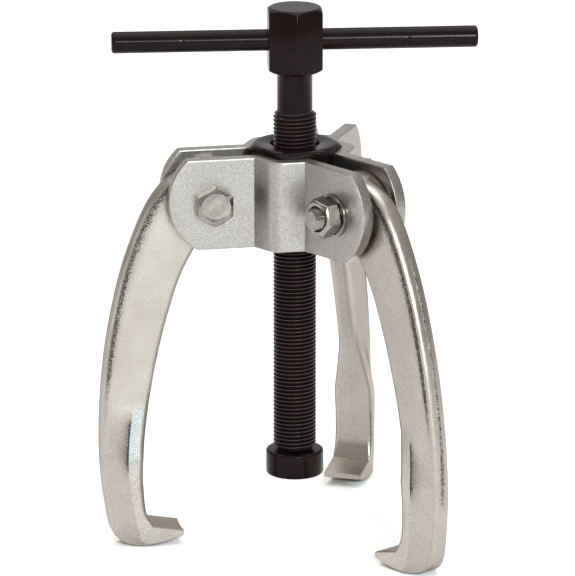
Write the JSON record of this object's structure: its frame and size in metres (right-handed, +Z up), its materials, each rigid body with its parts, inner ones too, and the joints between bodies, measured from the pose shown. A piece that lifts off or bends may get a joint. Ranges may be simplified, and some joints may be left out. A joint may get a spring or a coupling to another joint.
{
  "type": "gear puller",
  "caption": "Three-armed screw gear puller with swinging hooked arms, a threaded spindle, a swivelling pressure foot and a sliding tommy bar.",
  "frame": {"origin": "centre of the pressure foot's lower face, on the spindle's axis", "axes": "+Z up the spindle towards the tommy bar; the left arm points along -X and the other two arms stand at 120 degrees to it"},
  "size_m": [0.1412, 0.142, 0.2018],
  "materials": {
    "zinc_plate": "bright zinc plated, satin with a fine sparkle",
    "forged_arm": "drop forged and nickel plated, satin with a slight orange-peel",
    "zinc_fastener": "bright zinc plated",
    "black_oxide": "oiled black oxide, satin",
    "bearing_steel": "polished"
  },
  "bodies": {
    "yoke": {"centre_nut": "black_oxide", "plate_front": "zinc_plate", "plate_right": "zinc_plate", "plate_rear": "zinc_plate", "pivot_bolt_left": "zinc_fastener", "washer_left": "zinc_fastener", "lock_nut_left": "zinc_fastener", "pivot_bolt_right": "zinc_fastener", "washer_right": "zinc_fastener", "lock_nut_right": "zinc_fastener", "pivot_bolt_rear": "zinc_fastener", "washer_rear": "zinc_fastener", "lock_nut_rear": "zinc_fastener"},
    "foot": {"pressure_foot": "black_oxide", "thrust_ball": "bearing_steel", "retaining_ring": "bearing_steel"},
    "spindle": {"spindle": "black_oxide"},
    "tommy_bar": {"tommy_bar": "black_oxide"},
    "arm_left": {"arm_left": "forged_arm"},
    "arm_right": {"arm_right": "forged_arm"},
    "arm_rear": {"arm_rear": "forged_arm"}
  },
  "joints": [
    {"name": "spindle_advance", "type": "slide", "parent": "yoke", "child": "foot", "axis": [0, 0, 1], "range_m": [-0.0255, 0.0789]},
    {"name": "spindle_turn", "type": "hinge", "parent": "foot", "child": "spindle", "pos_m": [0, 0, 0], "axis": [0, 0, 1], "range_deg": [-6200, 19000]},
    {"name": "tommy_bar_slide", "type": "slide", "parent": "spindle", "child": "tommy_bar", "axis": [0.9923, -0.1236, 0], "range_m": [-0.03, 0.03]},
    {"name": "arm_left_swing", "type": "hinge", "parent": "yoke", "child": "arm_left", "pos_m": [-0.0325, 0, 0.108], "axis": [0, 1, 0], "range_deg": [-13, 45]},
    {"name": "arm_right_swing", "type": "hinge", "parent": "yoke", "child": "arm_right", "pos_m": [0.01625, -0.02815, 0.108], "axis": [-0.866, -0.5, 0], "range_deg": [-17, 41]},
    {"name": "arm_rear_swing", "type": "hinge", "parent": "yoke", "child": "arm_rear", "pos_m": [0.01625, 0.02815, 0.108], "axis": [0.866, -0.5, 0], "range_deg": [-16.8, 41.2]}
  ],
  "couplings": [
    {"joint": "spindle_turn", "follows": "spindle_advance", "rad_per_m": 4188.8}
  ]
}
